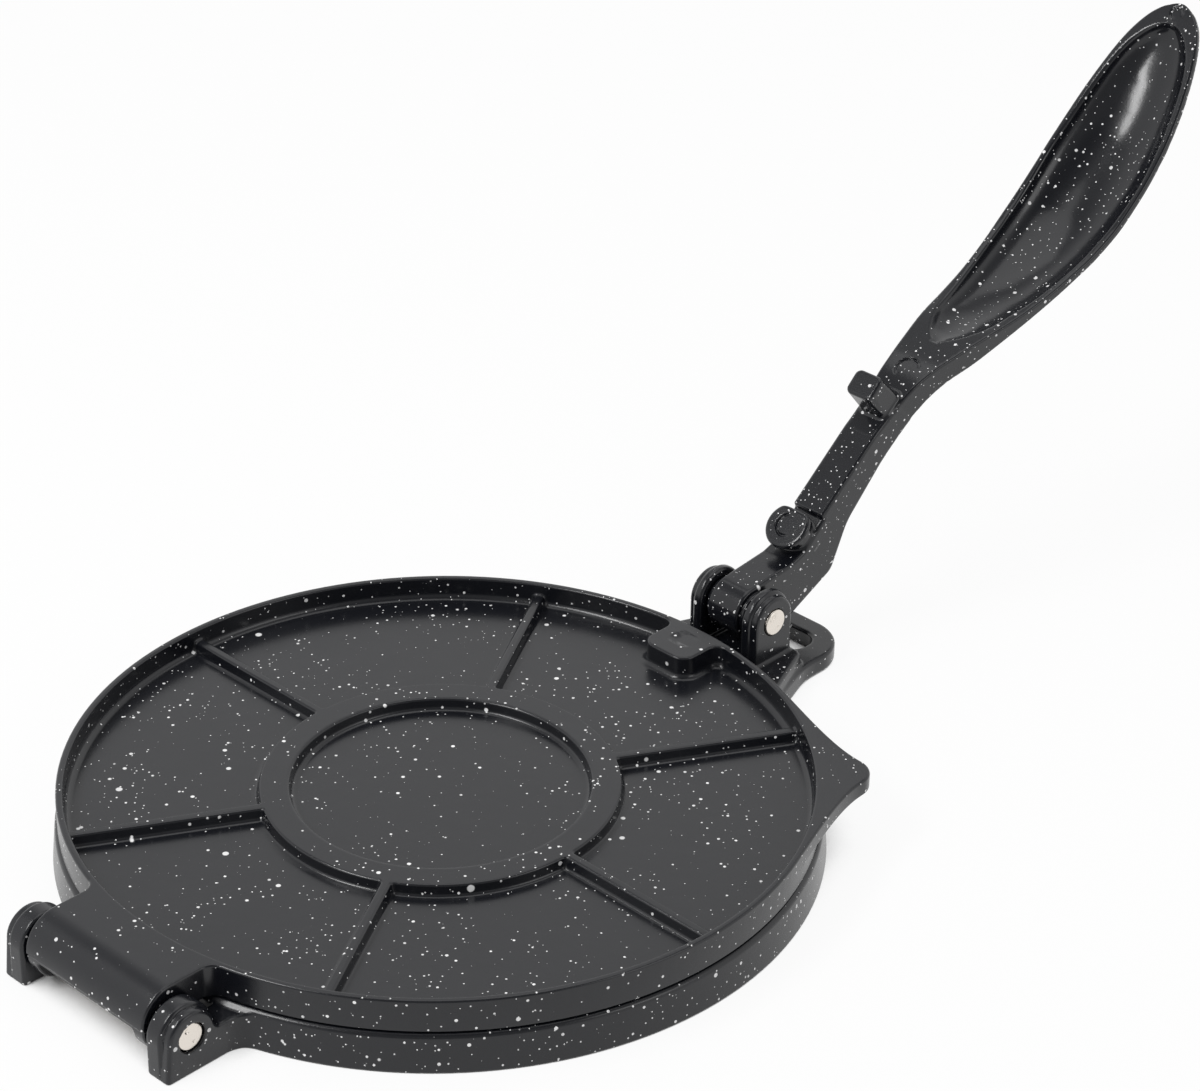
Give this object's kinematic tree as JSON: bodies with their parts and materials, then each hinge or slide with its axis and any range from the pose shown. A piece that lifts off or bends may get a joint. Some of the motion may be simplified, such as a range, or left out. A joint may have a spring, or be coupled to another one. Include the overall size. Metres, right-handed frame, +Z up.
{
  "type": "tortilla press",
  "caption": "Round cast tortilla press: a ribbed lid hinges over a flat base, and a scooped lever handle in a forked clevis swings over and presses the lid down.",
  "frame": {"origin": "centre of the base disc, on the table it stands on", "axes": "+Z up; +X from the lid's hinge to the handle's clevis; +Y completes a right-handed frame"},
  "size_m": [0.4324, 0.2066, 0.1526],
  "materials": {
    "base_coating": "black satin non-stick coat with fine white specks, on cast aluminium",
    "lid_coating": "black satin non-stick coat with fine white specks, on cast aluminium",
    "handle_coating": "black satin non-stick coat with fine white specks, on cast aluminium",
    "hinge_pin_steel": "bright nickel-plated steel",
    "handle_pin_steel": "bright nickel-plated steel"
  },
  "bodies": {
    "base": {"base_plate": "base_coating", "hinge_pin": "hinge_pin_steel", "handle_pin": "handle_pin_steel"},
    "lid": {"top_plate": "lid_coating"},
    "lever": {"handle": "handle_coating"}
  },
  "joints": [
    {"name": "lid_hinge", "type": "hinge", "parent": "base", "child": "lid", "pos_m": [-0.1132, 0, 0.0104], "axis": [0, -1, 0], "range_deg": [0, 180]},
    {"name": "handle_pivot", "type": "hinge", "parent": "base", "child": "lever", "pos_m": [0.118, 0, 0.0217], "axis": [0, -1, 0], "range_deg": [0, 137]}
  ]
}
